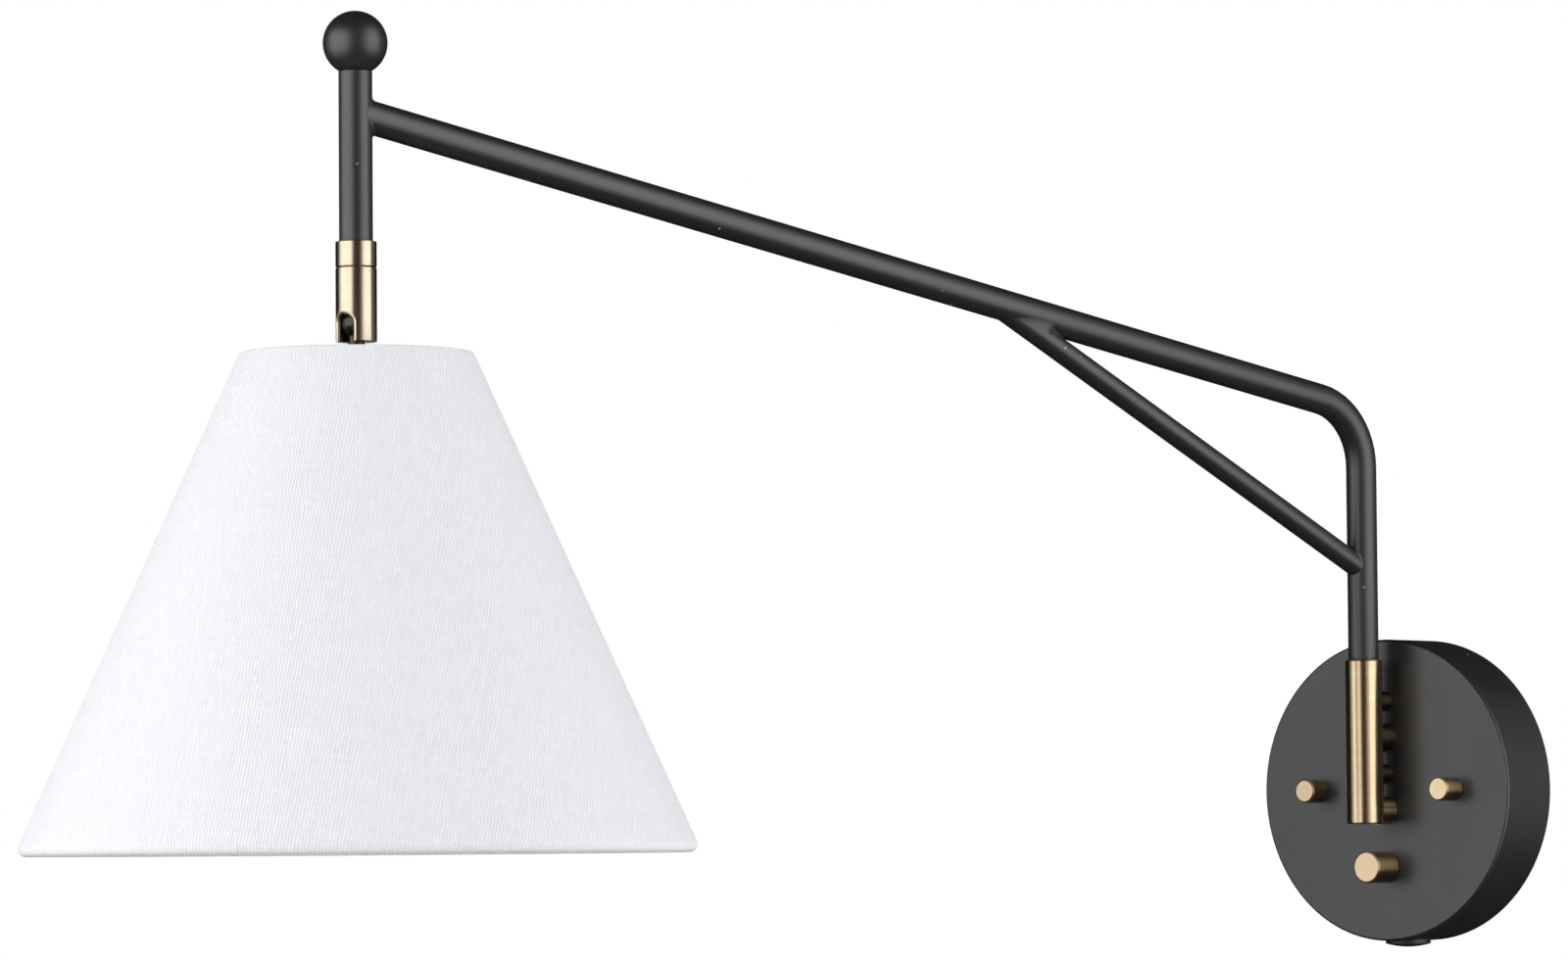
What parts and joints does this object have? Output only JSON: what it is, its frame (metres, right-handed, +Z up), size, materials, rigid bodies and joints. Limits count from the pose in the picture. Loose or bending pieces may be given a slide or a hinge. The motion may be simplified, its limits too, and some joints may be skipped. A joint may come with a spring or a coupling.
{
  "type": "swing arm wall sconce",
  "caption": "Wall sconce with a round canopy, a braced tube arm that swings in a brass barrel, and a fabric cone shade that turns and tilts.",
  "frame": {"origin": "centre of the canopy's open back, on the wall plane, on the back of the mounting strap", "axes": "+Z up, +Y into the wall, the lamp stands out towards -Y"},
  "size_m": [0.2803, 0.6765, 0.3584],
  "materials": {
    "black_steel": "satin black powder coat",
    "antique_brass": "brushed antique brass, lacquered",
    "lamp_brass": "bright stamped brass",
    "zinc_steel": "zinc plated steel",
    "green_steel": "green dyed steel",
    "white_steel": "white coated wire",
    "plated_steel": "nickel plated",
    "black_plastic": "moulded, matt black",
    "nylon": "natural nylon",
    "white_liner": "translucent white styrene",
    "white_fabric": "plain woven white cotton"
  },
  "bodies": {
    "wall_base": {"canopy": "black_steel", "mounting_strap": "zinc_steel", "canopy_studs": "zinc_steel", "stud_lock_nuts": "zinc_steel", "ground_screw": "green_steel", "thumb_nut_left": "antique_brass", "thumb_nut_right": "antique_brass", "upper_slim_post": "antique_brass", "lower_slim_post": "antique_brass", "upper_stout_post": "antique_brass", "lower_stout_post": "antique_brass", "post_screws": "zinc_steel", "post_nuts": "zinc_steel", "pivot_barrel": "antique_brass", "upper_bush": "nylon", "lower_bush": "nylon", "thrust_washer": "black_plastic", "barrel_end_plug": "antique_brass", "switch_body": "black_plastic", "switch_nut": "zinc_steel", "cord_hole_plug": "black_plastic"},
    "arm": {"arm_tube": "black_steel", "brace_tube": "black_steel", "drop_tube": "black_steel", "ball_finial": "black_steel", "pivot_spigot": "zinc_steel", "spigot_clip": "zinc_steel", "swivel_collar": "antique_brass", "drop_insert": "antique_brass", "swivel_nipple": "zinc_steel", "swivel_washer": "zinc_steel"},
    "swivel": {"swivel_sleeve": "antique_brass", "ball_seat": "nylon"},
    "shade": {"swivel_ball": "plated_steel", "neck_nuts": "zinc_steel", "socket_cap": "black_steel", "lampholder": "black_plastic", "screw_shell": "lamp_brass", "centre_contact": "lamp_brass", "shade_ring_nut": "black_plastic", "shade_spider": "white_steel", "shade_bottom_ring": "white_steel", "shade_liner": "white_liner", "shade_fabric": "white_fabric"},
    "knob": {"switch_knob": "antique_brass", "switch_shaft": "zinc_steel"}
  },
  "joints": [
    {"name": "arm_swing", "type": "hinge", "parent": "wall_base", "child": "arm", "pos_m": [0, -0.044, 0.02], "axis": [0, 0, 1], "range_deg": [-67.91, 88.09]},
    {"name": "shade_swivel", "type": "hinge", "parent": "arm", "child": "swivel", "pos_m": [-0.09, -0.54975, 0.19527], "axis": [0, 0, 1], "range_deg": [-110, 110]},
    {"name": "shade_tilt", "type": "hinge", "parent": "swivel", "child": "shade", "pos_m": [-0.09, -0.54975, 0.17427], "axis": [-0.9994, -0.0333, 0], "range_deg": [0, 85]},
    {"name": "knob_turn", "type": "hinge", "parent": "wall_base", "child": "knob", "pos_m": [0, -0.0355, -0.0324], "axis": [0, 1, 0], "range_deg": [0, 270]}
  ]
}
